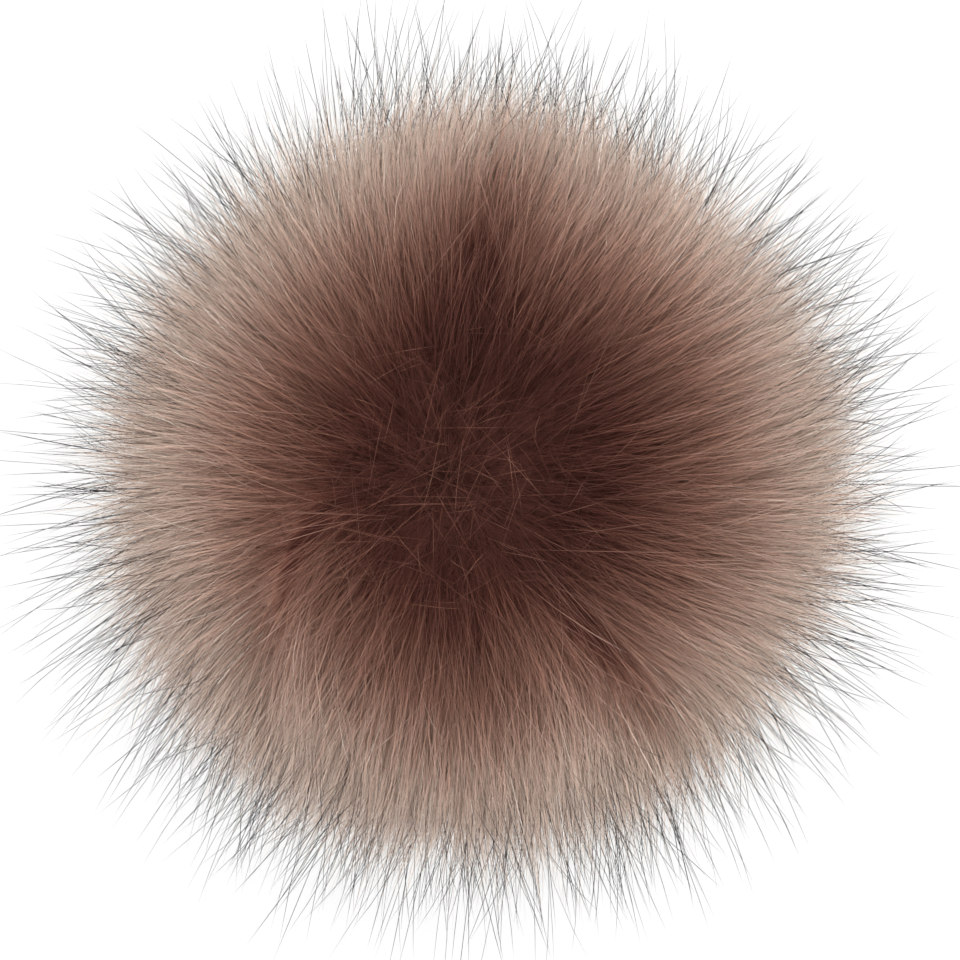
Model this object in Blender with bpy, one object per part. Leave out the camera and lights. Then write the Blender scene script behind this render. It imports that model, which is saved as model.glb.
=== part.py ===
"""A pom pom of long-pile faux fur, with a closed sew-on press stud under its base.

The fur is one filled ball, as it settles on its base, and its surface is where the tips of the pile
reach. The press stud sits in the parting of the pile at the base: the stud disc is sewn to the fur,
and the socket disc, with its two wire springs, is snapped onto the stud. Z points up, the base plane
is Z = 0, and the press stud's axis is the Z axis.
"""

import math
from collections import namedtuple

import bmesh
import bpy
from mathutils import Vector

for old_object in list(bpy.data.objects):
    bpy.data.objects.remove(old_object)

MM = 0.001
GAP = 0.3 * MM  # between touching pieces

# The fur ball, out to the tips of its pile.
PILE_RADIUS = 59 * MM
MIDDLE_HEIGHT = 46 * MM  # the widest level, above the base plane
CROWN_RISE = 56 * MM  # from the widest level up to the crown
FLAT_RADIUS = 30 * MM  # the flat spot that the ball rests on
BEARINGS = 48
LEVELS = 26
PARTING = Vector((-4 * MM, 0, 0))  # where the pile parts at the crown, off the middle

# The press stud: two pressed discs of one size, each with six sewing slots.
DISC_RADIUS = 10.5 * MM
SHEET = 0.45 * MM
BEAD_RADIUS = 0.4 * MM  # of the edge that is rolled over
TURN_STEPS = 40

SOCKET_DEPTH = 2.9 * MM  # from the base plane to the floor inside the socket disc
PLATEAU_RADIUS = 5.3 * MM  # the raised ring round the socket disc's hole
PLATEAU_STEP = 0.35 * MM
HOLE_RADIUS = 3.4 * MM

WIRE_RADIUS = 0.25 * MM
NECK_RADIUS = 1.95 * MM
HEAD_RADIUS = 3.05 * MM
HEAD_FLAT_RADIUS = 1.9 * MM
HEAD_CLEARANCE = 0.25 * MM  # from the base plane to the stud's head
STUD_EDGE_HEIGHT = 1.35 * MM  # of the stud disc, over its rolled edge

# The two springs are bent a little differently. The middle of each bend is at a level along Y, and the
# outer limb leans out by its splay. side is 1 on the +X side and -1 on the other.
Bends = namedtuple("Bends", "side hook_round hook_level splay foot_round foot_level foot_end_deg")
LOW_SPRING = Bends(1, 1.8 * MM, 2.0 * MM, 0.05 * MM, 1.0 * MM, -4.5 * MM, 295)
HIGH_SPRING = Bends(-1, 1.6 * MM, 3.0 * MM, 0.85 * MM, 1.1 * MM, -3.3 * MM, 310)
LEG_END = -5.2 * MM  # the lower end of both inner legs, along Y

SLOT_COUNT = 6
SLOT_LENGTH = 3.1 * MM
SLOT_WIDTH = 2.05 * MM
SLOT_PITCH_RADIUS = 7.4 * MM

# Levels in the closed press stud, from the base plane up.
SOCKET_FLOOR_TOP = SOCKET_DEPTH + SHEET
PLATEAU_UNDERSIDE = SOCKET_DEPTH - PLATEAU_STEP
WIRE_HEIGHT = PLATEAU_UNDERSIDE - GAP - WIRE_RADIUS
STUD_UNDERSIDE = SOCKET_FLOOR_TOP + GAP
STUD_EDGE_TOP = STUD_UNDERSIDE + STUD_EDGE_HEIGHT

# The hollow in the pile that the press stud fills.
HOLLOW_RADIUS = DISC_RADIUS + 0.8 * MM
HOLLOW_HEIGHT = STUD_EDGE_TOP + GAP
HOLLOW_LIP = 1 * MM  # the hollow's mouth is this much wider, over this height

# Where the pile bulges or dips, as shares of the radius. Bearings run from +X towards +Y.
Tuft = namedtuple("Tuft", "bearing_deg climb_deg spread_deg swell")
TUFTS = (
    Tuft(bearing_deg=350, climb_deg=3, spread_deg=26, swell=0.040),
    Tuft(bearing_deg=34, climb_deg=-10, spread_deg=18, swell=0.022),
    Tuft(bearing_deg=96, climb_deg=8, spread_deg=30, swell=0.040),
    Tuft(bearing_deg=196, climb_deg=0, spread_deg=32, swell=0.040),
    Tuft(bearing_deg=254, climb_deg=5, spread_deg=27, swell=0.045),
    Tuft(bearing_deg=300, climb_deg=-16, spread_deg=18, swell=0.022),
    Tuft(bearing_deg=60, climb_deg=50, spread_deg=28, swell=0.024),
    Tuft(bearing_deg=170, climb_deg=46, spread_deg=28, swell=0.022),
    Tuft(bearing_deg=282, climb_deg=52, spread_deg=28, swell=0.026),
    Tuft(bearing_deg=180, climb_deg=86, spread_deg=16, swell=-0.040),
)
SWELL_BASE = 0.975  # brings the mean radius at the widest level to about PILE_RADIUS


def material(name, colour, roughness, metallic):
    """A plain finish in linear colour."""
    made = bpy.data.materials.new(name)
    made.use_nodes = True
    shader = made.node_tree.nodes["Principled BSDF"]
    shader.inputs["Base Color"].default_value = (*colour, 1)
    shader.inputs["Roughness"].default_value = roughness
    shader.inputs["Metallic"].default_value = metallic
    return made


def linked(name, data, finish):
    """A new object in the scene that wears one finish."""
    made = bpy.data.objects.new(name, data)
    data.materials.append(finish)
    bpy.context.scene.collection.objects.link(made)
    return made


def mesh_of(name, bm):
    """The mesh of a closed bmesh, with its faces pointing out and its round faces shaded smooth."""
    bmesh.ops.recalc_face_normals(bm, faces=bm.faces)
    mesh = bpy.data.meshes.new(name)
    bm.to_mesh(mesh)
    bm.free()
    mesh.shade_smooth()
    mesh.set_sharp_from_angle(angle=math.radians(40))
    return mesh


# ---- The fur ball -------------------------------------------------------------------------------


def direction(bearing, climb):
    """The unit vector at a bearing and a climb above the horizon, both in radians."""
    level = math.cos(climb)
    return Vector((level * math.cos(bearing), level * math.sin(bearing), math.sin(climb)))


def swell_towards(way):
    """How far the pile reaches in one direction, as a share of the plain ball."""
    total = SWELL_BASE
    for tuft in TUFTS:
        middle = direction(math.radians(tuft.bearing_deg), math.radians(tuft.climb_deg))
        apart = way.angle(middle)
        total += tuft.swell * math.exp(-((apart / math.radians(tuft.spread_deg)) ** 2))
    return total


def pile_point(bearing, polar):
    """A point on the pile's outside, by its angle down from the crown. Below the middle only the
    width swells, so that every bearing meets the base plane at the same angle."""
    flat_share = FLAT_RADIUS / PILE_RADIUS
    base_rise = MIDDLE_HEIGHT / math.sqrt(1 - flat_share**2)
    swell = swell_towards(direction(bearing, math.pi / 2 - polar))
    width = PILE_RADIUS * swell * math.sin(polar)
    rise = (CROWN_RISE * swell if polar < math.pi / 2 else base_rise) * math.cos(polar)
    drift = PARTING * max(0, math.cos(polar)) ** 3
    around = Vector((math.cos(bearing), math.sin(bearing), 0))
    return around * width + drift + Vector((0, 0, MIDDLE_HEIGHT + rise))


def centred(rings):
    """The same rings, moved level so that their box is centred on the Z axis."""
    points = [point for ring in rings for point in ring]
    middle = [(min(p[k] for p in points) + max(p[k] for p in points)) / 2 for k in (0, 1)]
    shift = Vector((middle[0], middle[1], 0))
    return [[point - shift for point in ring] for ring in rings]


def level_ring(radius, height):
    """A round ring of points on the Z axis, one for each bearing."""
    angles = [math.tau * step / BEARINGS for step in range(BEARINGS)]
    return [Vector((radius * math.cos(a), radius * math.sin(a), height)) for a in angles]


def make_fur_ball():
    """The ball from its crown down to the flat spot, then across it and up into the hollow."""
    flat_polar = math.pi - math.asin(FLAT_RADIUS / PILE_RADIUS)
    bearings = [math.tau * step / BEARINGS for step in range(BEARINGS)]
    polars = [flat_polar * level / LEVELS for level in range(1, LEVELS + 1)]
    outside = centred([[pile_point(b, polar) for b in bearings] for polar in polars])
    for point in outside[-1]:
        point.z = 0
    hollow = [
        level_ring(HOLLOW_RADIUS + HOLLOW_LIP, 0),
        level_ring(HOLLOW_RADIUS, HOLLOW_LIP),
        level_ring(HOLLOW_RADIUS, HOLLOW_HEIGHT),
    ]
    bm = bmesh.new()
    rings = [[bm.verts.new(point) for point in ring] for ring in outside + hollow]
    for upper, lower in zip(rings, rings[1:]):
        for here in range(BEARINGS):
            after = (here + 1) % BEARINGS
            bm.faces.new((upper[here], lower[here], lower[after], upper[after]))
    bm.faces.new(rings[-1])
    crown = bm.verts.new(sum(outside[0], Vector()) / BEARINGS)
    for here in range(BEARINGS):
        bm.faces.new((crown, rings[0][here], rings[0][(here + 1) % BEARINGS]))
    return linked("fur_ball", mesh_of("fur_ball", bm), FUR)


# ---- The press stud -----------------------------------------------------------------------------


def arc(radius_at, height_at, bend, start_deg, end_deg, steps):
    """Points of a round bend in a disc's section, as (radius, height)."""
    turn = [math.radians(start_deg + (end_deg - start_deg) * k / steps) for k in range(steps + 1)]
    return [(radius_at + bend * math.cos(a), height_at + bend * math.sin(a)) for a in turn]


def turned(name, section, finish, closed):
    """A disc turned about the Z axis from its section, a list of (radius, height) points. An open
    section starts and ends on the axis."""
    bm = bmesh.new()
    verts = [bm.verts.new((radius, 0, height)) for radius, height in section]
    pairs = list(zip(verts, verts[1:]))
    if closed:
        pairs.append((verts[-1], verts[0]))
    edges = [bm.edges.new(pair) for pair in pairs]
    bmesh.ops.spin(
        bm,
        geom=verts + edges,
        cent=(0, 0, 0),
        axis=(0, 0, 1),
        angle=math.tau,
        steps=TURN_STEPS,
        use_merge=True,
    )
    bmesh.ops.remove_doubles(bm, verts=bm.verts, dist=0.001 * MM)
    return linked(name, mesh_of(name, bm), finish)


def socket_section():
    """The socket disc, open side down: a rolled edge, a wall, the floor, and a raised ring round the
    hole that the stud comes through. The bead of the rolled edge rests on its lowest facet, which is
    level: its bends are 45 degrees each, and the facet lies square below the bead's middle."""
    wall_radius = DISC_RADIUS - SHEET
    corner = 0.9 * MM
    ramp = PLATEAU_RADIUS + PLATEAU_STEP
    bead_middle = DISC_RADIUS - BEAD_RADIUS
    bead_height = BEAD_RADIUS * math.cos(math.radians(22.5))
    bead = arc(bead_middle, bead_height, BEAD_RADIUS, 112.5, 382.5, 6)
    outer_corner = arc(DISC_RADIUS - corner, SOCKET_FLOOR_TOP - corner, corner, 0, 90, 3)
    inner_bend = corner - SHEET
    inner_corner = arc(wall_radius - inner_bend, SOCKET_DEPTH - inner_bend, inner_bend, 90, 0, 3)
    return [
        *bead[:-1],
        *outer_corner,
        (ramp, SOCKET_FLOOR_TOP),
        (PLATEAU_RADIUS, SOCKET_FLOOR_TOP - PLATEAU_STEP),
        (HOLE_RADIUS, SOCKET_FLOOR_TOP - PLATEAU_STEP),
        (HOLE_RADIUS, PLATEAU_UNDERSIDE),
        (PLATEAU_RADIUS, PLATEAU_UNDERSIDE),
        (ramp, SOCKET_DEPTH),
        *inner_corner,
    ]


def stud_section():
    """The stud disc, pressed from one sheet: a hollow button head, its neck, the flange and an edge
    rolled upwards. The section runs down its outside from the head's middle, and back inside."""
    head_round = 0.62 * MM
    head_level = HEAD_CLEARANCE + head_round
    head_inner = HEAD_RADIUS - SHEET
    neck_inner = NECK_RADIUS - SHEET
    neck_top = STUD_UNDERSIDE - 0.75 * MM
    neck_foot = WIRE_HEIGHT - WIRE_RADIUS - GAP
    flare_radius = NECK_RADIUS + 1.1 * MM
    bead_level = STUD_EDGE_TOP - BEAD_RADIUS
    wall_radius = DISC_RADIUS - SHEET
    stud_top = STUD_UNDERSIDE + SHEET
    head_edge = arc(HEAD_RADIUS - head_round, head_level, head_round, -60, 55, 4)
    edge_bead = arc(DISC_RADIUS - BEAD_RADIUS, bead_level, BEAD_RADIUS, 0, 247.5, 6)
    return [
        (0, HEAD_CLEARANCE),
        (HEAD_FLAT_RADIUS, HEAD_CLEARANCE),
        *head_edge,
        (NECK_RADIUS, neck_foot),
        (NECK_RADIUS, neck_top),
        (flare_radius, STUD_UNDERSIDE),
        (DISC_RADIUS - 0.5 * MM, STUD_UNDERSIDE),
        (DISC_RADIUS, STUD_UNDERSIDE + 0.4 * MM),
        *edge_bead,
        (wall_radius - 0.2 * MM, stud_top),
        (flare_radius - 0.1 * MM, stud_top),
        (neck_inner, neck_top),
        (neck_inner, neck_foot - SHEET),
        (head_inner, head_level),
        (HEAD_FLAT_RADIUS, HEAD_CLEARANCE + SHEET),
        (0, HEAD_CLEARANCE + SHEET),
    ]


def make_slot_cutter():
    """Six round-ended slots, each with its length square to the disc's radius."""
    straight = (SLOT_LENGTH - SLOT_WIDTH) / 2
    end_round = SLOT_WIDTH / 2
    outline = arc(0, straight, end_round, 0, 180, 6) + arc(0, -straight, end_round, 180, 360, 6)
    below = SOCKET_DEPTH - 1 * MM
    height = STUD_UNDERSIDE + SHEET + 1 * MM - below
    bm = bmesh.new()
    for count in range(SLOT_COUNT):
        turn = math.tau * count / SLOT_COUNT
        out = Vector((math.cos(turn), math.sin(turn), 0))
        along = Vector((-out.y, out.x, 0))
        corners = [out * (SLOT_PITCH_RADIUS + x) + along * y for x, y in outline]
        face = bm.faces.new([bm.verts.new(p + Vector((0, 0, below))) for p in corners])
        raised = bmesh.ops.extrude_face_region(bm, geom=[face])["geom"]
        raised_verts = [item for item in raised if isinstance(item, bmesh.types.BMVert)]
        bmesh.ops.translate(bm, verts=raised_verts, vec=(0, 0, height))
    cutter = linked("slot_cutter", mesh_of("slot_cutter", bm), STEEL)
    cutter.hide_render = True
    cutter.display_type = "WIRE"
    return cutter


def cut_slots(disc, cutter):
    """Cuts the six sewing slots through a disc."""
    cut = disc.modifiers.new("sewing_slots", "BOOLEAN")
    cut.operation = "DIFFERENCE"
    cut.solver = "EXACT"
    cut.object = cutter


def spring_route(bends):
    """The middle line of one wire spring: up beside the neck, round a hook, down the outer limb, and
    round to the wall of the socket disc."""
    leg = NECK_RADIUS + GAP + WIRE_RADIUS
    limb = leg + 2 * bends.hook_round
    foot_middle = limb + bends.splay + bends.foot_round
    square_end = 0.06 * MM  # a corner of the wire's cut end reaches this much past its middle
    wall_reach = DISC_RADIUS - SHEET - GAP - WIRE_RADIUS - square_end
    hook = arc(leg + bends.hook_round, bends.hook_level, bends.hook_round, 180, 0, 12)
    foot = arc(foot_middle, bends.foot_level, bends.foot_round, 180, bends.foot_end_deg, 10)
    last = Vector(foot[-1])
    heading = (last - Vector(foot[-2])).normalized()
    outward = last.dot(heading)
    end = last + heading * (math.sqrt(outward**2 + wall_reach**2 - last.length_squared) - outward)
    flat = [(leg, LEG_END), (leg, -1.5 * MM), (leg, 0.8 * MM), *hook, *foot, tuple(end)]
    return [Vector((bends.side * x, y, WIRE_HEIGHT)) for x, y in flat]


def make_spring(name, bends):
    """One spring of round wire, bent to its route."""
    curve = bpy.data.curves.new(name, "CURVE")
    curve.dimensions = "3D"
    curve.bevel_depth = WIRE_RADIUS
    curve.bevel_resolution = 2
    curve.use_fill_caps = True
    route = spring_route(bends)
    spline = curve.splines.new("POLY")
    spline.points.add(len(route) - 1)
    for point, place in zip(spline.points, route):
        point.co = (*place, 1)
    return linked(name, curve, STEEL)


FUR = material("long_pile_fur", (0.25, 0.15, 0.11), 0.9, 0.0)
STEEL = material("nickelled_steel", (0.55, 0.53, 0.51), 0.28, 1.0)

make_fur_ball()
slots = make_slot_cutter()
for disc_name, disc_section, is_ring in (
    ("socket_disc", socket_section(), True),
    ("stud_disc", stud_section(), False),
):
    cut_slots(turned(disc_name, disc_section, STEEL, is_ring), slots)
for spring_name, spring_bends in (("spring_a", LOW_SPRING), ("spring_b", HIGH_SPRING)):
    make_spring(spring_name, spring_bends)
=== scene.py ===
"""The looks of a pom pom of long-pile faux fur with a sew-on press stud under its base.

Built round the frame, in metres, +Z up. The sections follow the making: the gathered ball of fur cloth,
its pile, its guard hairs and pale hairs and the loose hairs of the crown, then the press stud's discs,
its springs and its stitches. The table, the light and the camera come last.
"""

import math
from collections import namedtuple

import bmesh
import bpy
import numpy as np
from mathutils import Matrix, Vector
from mathutils.bvhtree import BVHTree
from mathutils.kdtree import KDTree


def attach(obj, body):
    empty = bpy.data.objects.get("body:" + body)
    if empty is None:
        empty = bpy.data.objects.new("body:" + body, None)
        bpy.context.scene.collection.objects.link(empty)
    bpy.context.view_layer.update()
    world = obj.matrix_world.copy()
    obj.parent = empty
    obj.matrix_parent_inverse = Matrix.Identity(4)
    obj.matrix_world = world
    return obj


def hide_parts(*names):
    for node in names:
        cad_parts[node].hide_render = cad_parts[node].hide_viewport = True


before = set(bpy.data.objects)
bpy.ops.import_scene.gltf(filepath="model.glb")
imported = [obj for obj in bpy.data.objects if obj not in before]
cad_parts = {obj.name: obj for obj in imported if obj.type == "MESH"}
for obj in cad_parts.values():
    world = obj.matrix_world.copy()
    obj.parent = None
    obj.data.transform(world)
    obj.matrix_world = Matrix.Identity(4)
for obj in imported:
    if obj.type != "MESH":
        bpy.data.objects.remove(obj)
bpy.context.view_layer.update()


# ---- The gathered ball of fur cloth --------------------------------------------------------------
# The fur is a circle of pile cloth, gathered by a thread into a ball, pile outwards. Its undercoat is
# a dense, matted mass of fine fibres, combed outwards, brown and coloured darker at the crown by painted
# shade, and paler down the sides.

MM = 0.001
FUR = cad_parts["fur_ball"]
PARTING = np.array([-4.0, 0.0]) * MM  # where the pile parts at the crown, off the middle
HEART = np.array([0.0, 0.0, 46.0]) * MM  # the middle of the widest level
BASE_WAY = -0.9  # ways that point further down than this reach the base plane, past the press stud
# How far the undercoat reaches, as shares of the fur's reach from its heart, by degrees from the
# crown. It fills the base, where the ball's weight packs it, down to just over the press stud.
UNDERCOAT_ANGLES = (115, 145, 160, 167)
UNDERCOAT_SHARES = (0.74, 0.88, 0.88, 0.85)
UNDERCOAT_DEPTH = 0.12  # how much less of the way along the dye it is than the ends over it
# Painted shade: the fur is coloured darker towards the crown, where one looks down into its depths.
DEEPEST_SHADE = np.array([5.5, 2.2, 52.0])  # mm from the heart, on the line to where the painted shade is deepest
SHADE_WAY = DEEPEST_SHADE / np.linalg.norm(DEEPEST_SHADE)
FULL_SHADE_ANGLE = 0.14  # radians from there, out to which the painted shade stays full
SHADE_END_ANGLE = 1.14  # and where the painted shade has faded and the fur is fully pale
SHADED_DYE = 0.5  # how far along the dye it is under the deepest painted shade
# Tongues of the painted shade run out from there, at a bearing and with a half width in degrees. further
# is how much further the painted shade reaches along them, in radians, and is below 0 where it reaches less.
ShadeTongue = namedtuple("ShadeTongue", "bearing half_width further")
SHADE_TONGUES = (ShadeTongue(90, 20, 0.08), ShadeTongue(270, 24, 0.05), ShadeTongue(300, 18, -0.09))
# The pile also parts along shorter lines, each at a bearing and an angle from the crown. slant is how
# many degrees the bearing grows for each degree down. after and before are the angles that it turns
# the ends away by, on its two sides. The angles are in degrees.
SideParting = namedtuple("SideParting", "bearing from_crown slant after before half_width")
SIDE_PARTINGS = (
    SideParting(201, 31, 1.1, 21, 8, 3),
    SideParting(86, 36, 0, 7, 7, 6),
    SideParting(-50, 40, 0, 11, 9, 4),
)
PARTING_LENGTH = 19  # degrees along it, over which a side parting fades
PARTING_REACH = 24  # degrees to either side, over which its turn fades
SLANT_REACH = 30  # degrees along it, past which its bearing grows no more
PARTING_SHADE = 0.28  # painted shade in its gap: how much less of the way along the dye the fur is there


def linear(red, green, blue):
    """Linear colour from an sRGB colour of 0 to 255."""
    shares = [value / 255 for value in (red, green, blue)]
    return tuple(s / 12.92 if s <= 0.04045 else ((s + 0.055) / 1.055) ** 2.4 for s in shares)


DYE = [
    (0.30, linear(52, 26, 21)),
    (0.50, linear(62, 32, 26)),
    (0.58, linear(82, 48, 39)),
    (0.75, linear(123, 87, 74)),
    (0.86, linear(154, 122, 107)),
    (0.95, linear(190, 168, 154)),
    (1.0, linear(228, 218, 209)),
]
STREAKS = 120  # of matted fibres to a radian round the parting
STREAK_LENGTH = 6 * MM
STREAK_TONES = (0.82, 1.15)  # times the dye, from the darkest streak to the palest
STREAK_RELIEF = 0.15 * MM
outside = BVHTree.FromPolygons(
    [vert.co for vert in FUR.data.vertices], [face.vertices for face in FUR.data.polygons]
)


def add_node(tree, kind, inputs=None, **settings):
    """A node with its properties set, and its inputs, by name or place, given a value or a link."""
    made = tree.nodes.new(kind)
    for name, value in settings.items():
        setattr(made, name, value)
    for name, value in (inputs or {}).items():
        if isinstance(value, bpy.types.NodeSocket):
            tree.links.new(value, made.inputs[name])
        else:
            made.inputs[name].default_value = value
    return made


class Maths:
    """Short forms for the vector and number nodes of one tree."""

    def __init__(self, tree):
        self.tree = tree

    def number(self, operation, *values):
        inputs = dict(enumerate(values))
        return add_node(self.tree, "ShaderNodeMath", inputs, operation=operation).outputs["Value"]

    def vector(self, operation, *values):
        inputs = dict(enumerate(values))
        node = add_node(self.tree, "ShaderNodeVectorMath", inputs, operation=operation)
        return node.outputs["Value" if operation in ("LENGTH", "DOT_PRODUCT") else "Vector"]

    def scaled(self, vector, factor):
        inputs = {"Vector": vector, "Scale": factor}
        return add_node(self.tree, "ShaderNodeVectorMath", inputs, operation="SCALE").outputs["Vector"]

    def split(self, vector):
        return list(add_node(self.tree, "ShaderNodeSeparateXYZ", {"Vector": vector}).outputs)

    def joined(self, *values):
        return add_node(self.tree, "ShaderNodeCombineXYZ", dict(enumerate(values))).outputs["Vector"]

    def mapped(self, value, low, high, out_low, out_high):
        """Eased from out_low, where the value is low, to out_high, where it is high."""
        inputs = dict(enumerate((value, low, high, out_low, out_high)))
        node = add_node(self.tree, "ShaderNodeMapRange", inputs, interpolation_type="SMOOTHSTEP")
        return node.outputs["Result"]

    def attribute(self, name, kind):
        inputs = {"Name": name}
        node = add_node(self.tree, "GeometryNodeInputNamedAttribute", inputs, data_type=kind)
        return node.outputs["Attribute"]

    def store(self, geometry, name, kind, value, domain="POINT"):
        inputs = {"Geometry": geometry, "Name": name, "Value": value}
        settings = {"data_type": kind, "domain": domain}
        return add_node(self.tree, "GeometryNodeStoreNamedAttribute", inputs, **settings).outputs["Geometry"]


def principled(name, roughness, specular=0.5, metallic=0.0):
    """A new material, with its node tree and its shader."""
    made = bpy.data.materials.new(name)
    made.use_nodes = True
    shader = made.node_tree.nodes["Principled BSDF"]
    shader.inputs["Roughness"].default_value = roughness
    shader.inputs["Specular IOR Level"].default_value = specular
    shader.inputs["Metallic"].default_value = metallic
    return made, made.node_tree, shader


def place_on_piece(tree):
    """Object coordinates."""
    return add_node(tree, "ShaderNodeTexCoord").outputs["Object"]


def layer(tree, name):
    """A number that the piece's mesh holds."""
    return add_node(tree, "ShaderNodeAttribute", attribute_name=name).outputs["Fac"]


def noise(tree, place, scale, detail=2, roughness=0.5, dimensions="3D"):
    """A noise pattern at a place, or in 1D along a number."""
    inputs = {"Scale": scale, "Detail": detail, "Roughness": roughness}
    inputs["W" if dimensions == "1D" else "Vector"] = place
    return add_node(tree, "ShaderNodeTexNoise", inputs, noise_dimensions=dimensions).outputs["Fac"]


def ramp(tree, stops, place):
    """The colour at a place along (place, linear colour) stops."""
    made = add_node(tree, "ShaderNodeValToRGB", {"Fac": place})
    elements = made.color_ramp.elements
    while len(elements) < len(stops):
        elements.new(0.5)
    for element, (spot, colour) in zip(elements, stops):
        element.position = spot
        element.color = (*colour, 1)
    return made.outputs["Color"]


def bump(tree, shader, height, distance):
    """Gives the shader's surface this relief."""
    made = add_node(tree, "ShaderNodeBump", {"Distance": distance, "Height": height})
    tree.links.new(made.outputs["Normal"], shader.inputs["Normal"])


def around(bearing, polar):
    """Unit vectors from bearings, and angles down from the crown, as an array of rows."""
    level = np.sin(polar)
    return np.stack((level * np.cos(bearing), level * np.sin(bearing), np.cos(polar)), axis=1)


def from_crown(ways):
    """Degrees from the crown down to each way."""
    return np.degrees(np.arccos(np.clip(ways[:, 2], -1, 1)))


def beside(ways, line):
    """Degrees from this bearing to each way's, from -180 to 180."""
    return (np.degrees(np.arctan2(ways[:, 1], ways[:, 0])) - line + 180) % 360 - 180


def reach_of_pile(ways):
    """How far the frame's fur reaches from its heart along each way."""
    heart = Vector(HEART)
    reach = np.array([outside.ray_cast(heart, Vector(way))[3] or 0.0 for way in ways])
    down = ways[:, 2] < BASE_WAY
    reach[down] = -HEART[2] / ways[down, 2]
    return reach


def spots_in_fur(ways, share):
    """Points this share of the way out of the fur, drawn over to the parting at the top."""
    spots = HEART + ways * (reach_of_pile(ways) * share)[:, None]
    spots[:, :2] += PARTING * np.clip(ways[:, 2:3], 0, 1) ** 2
    return spots


def share_of_undercoat(ways):
    """How far out of the fur the undercoat reaches along each way."""
    return np.interp(from_crown(ways), UNDERCOAT_ANGLES, UNDERCOAT_SHARES)


def side_partings(ways):
    """How far the side partings turn the pile at each way, in radians, and how open it is there."""
    turn, gap = np.zeros(len(ways)), np.zeros(len(ways))
    for parting in SIDE_PARTINGS:
        down = from_crown(ways) - parting.from_crown
        line = parting.bearing + parting.slant * np.clip(down, -SLANT_REACH, SLANT_REACH)
        aside = beside(ways, line)
        along = np.exp(-((down / PARTING_LENGTH) ** 2))
        angle = np.radians(np.where(aside > 0, parting.after, parting.before))
        faded = np.exp(-((aside / PARTING_REACH) ** 2)) * along
        turn += angle * np.tanh(aside / parting.half_width) * faded
        gap += np.exp(-((aside / parting.half_width) ** 2)) * along
    return turn, gap


def dye_and_painted_shade(ways):
    """How far along the dye the fur's surface is towards each way, darkened towards the crown by painted
    shade.
    """
    from_dark = np.arccos(np.clip(ways @ SHADE_WAY, -1, 1))
    for tongue in SHADE_TONGUES:
        off_line = beside(ways, tongue.bearing) / tongue.half_width
        from_dark -= tongue.further * np.exp(-(off_line**2))
    paling = np.clip((from_dark - FULL_SHADE_ANGLE) / (SHADE_END_ANGLE - FULL_SHADE_ANGLE), 0, 1)
    return SHADED_DYE + (1 - SHADED_DYE) * paling * paling * (3 - 2 * paling)


def matted_fibres():
    """Matted fibres in streaks that run away from the parting, in the dye and painted shade the mesh holds.
    """
    finish, tree, shader = principled("matted_undercoat", roughness=0.9, specular=0.1)
    m = Maths(tree)
    place = place_on_piece(tree)
    aside = m.vector("MULTIPLY", m.vector("SUBTRACT", place, (*PARTING, 0)), (1, 1, 0))
    run = m.number("ADD", m.vector("LENGTH", aside), m.split(place)[2])
    run = m.number("DIVIDE", run, STREAKS * STREAK_LENGTH)
    around_parting = m.vector("ADD", m.vector("NORMALIZE", aside), m.joined(0, 0, run))
    streaks = noise(tree, around_parting, STREAKS)
    dye = ramp(tree, DYE, layer(tree, "along"))
    tone = m.mapped(streaks, 0.3, 0.7, *STREAK_TONES)
    tree.links.new(m.scaled(dye, tone), shader.inputs["Base Color"])
    bump(tree, shader, streaks, STREAK_RELIEF)
    return finish


def undercoat_mesh():
    """The frame's fur drawn in, closed, with its dye and painted shade as an attribute."""
    bm = bmesh.new()
    bmesh.ops.create_icosphere(bm, subdivisions=6, radius=1)
    ways = np.array([vert.co.normalized() for vert in bm.verts])
    for vert, spot in zip(bm.verts, spots_in_fur(ways, share_of_undercoat(ways))):
        vert.co = spot
    mesh = bpy.data.meshes.new("undercoat")
    bm.to_mesh(mesh)
    bm.free()
    mesh.shade_smooth()
    mesh.materials.append(matted_fibres())
    along = mesh.attributes.new("along", "FLOAT", "POINT")
    # Painted shade: darker towards the crown and in the side partings.
    dye = dye_and_painted_shade(ways) - UNDERCOAT_DEPTH - PARTING_SHADE * side_partings(ways)[1]
    along.data.foreach_set("value", dye.astype("float32"))
    return mesh


def new_piece(name, mesh):
    """A piece on the object's one body, with the finish that its mesh holds."""
    piece = bpy.data.objects.new(name, mesh)
    bpy.context.scene.collection.objects.link(piece)
    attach(piece, "root")
    return piece


undercoat = new_piece("undercoat", undercoat_mesh())
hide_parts("fur_ball")


# ---- The pile -------------------------------------------------------------------------------------
# Long acrylic pile, dyed dark brown at the root and paling to a rosy tan and a beige. It is combed away
# from the parting at the crown, and opens round the press stud below. Its outer part is made strand by
# strand, from where it leaves the undercoat.

# The pile's dye also holds painted shade, darker towards the crown and in the side partings.
STRANDS_IN_A_PIECE = 17000
PILE_PIECES = 4
PILE_SHAPE = {"Girth": 0.043 * MM, "Bends": 1, "Tip Share": 0.65, "Ring Skew": 0.85}
GIRTHS = (0.75, 1.3)  # times the girth, from the finest strand to the coarsest
ROOT_SINK = 0.02  # of the fur's reach, from the undercoat in to where the strands start
ROOT_DEPTH = 0.10  # how much less of the way along the dye they are there than the fur's surface
COLLAR = 168  # degrees from the crown, past which no strand starts, over the press stud
ROOT_ANGLES = (0, 15, 60, 110, 145, COLLAR)  # degrees from the crown, of where strands start
END_ANGLES = (7, 31, 76, 114, 138, 157)  # and of where they end
CROWN_ANGLE = 0.5  # radians from the crown, over which these two fade:
CROWN_STRAY = 2.5  # how much more the strands stray at the crown, as a share
CROWN_SHORTER = 0.08  # and up to how much shorter they are there
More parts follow.
